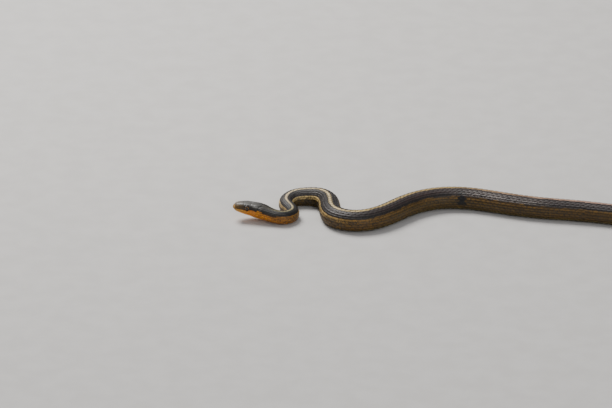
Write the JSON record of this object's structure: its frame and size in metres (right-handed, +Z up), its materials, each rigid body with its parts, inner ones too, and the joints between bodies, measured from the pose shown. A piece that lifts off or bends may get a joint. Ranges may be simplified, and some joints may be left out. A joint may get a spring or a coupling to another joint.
{
  "type": "garter snake",
  "caption": "Life-size garter snake: raised head, neck turned back in a tight double bend, thick trunk in long waves, tapering tail.",
  "frame": {"origin": "centre of the box round the whole snake, on the plane that the belly lies on", "axes": "+X from the snout towards the tail, +Y to the snake's right, +Z up"},
  "size_m": [0.5854, 0.0586, 0.0145],
  "materials": {
    "striped_skin": "satin scales, dark above with a cream stripe, golden brown below",
    "orange_skin": "satin",
    "dark_eye": "wet gloss"
  },
  "bodies": {
    "root": {"head": "striped_skin", "lower_jaw": "orange_skin", "left_eye": "dark_eye", "right_eye": "dark_eye", "neck": "striped_skin", "fore_bend": "striped_skin", "fore_trunk": "striped_skin", "mid_trunk": "striped_skin", "rear_trunk": "striped_skin", "hind_trunk": "striped_skin", "tail": "striped_skin", "tail_tip": "striped_skin"}
  },
  "joints": []
}
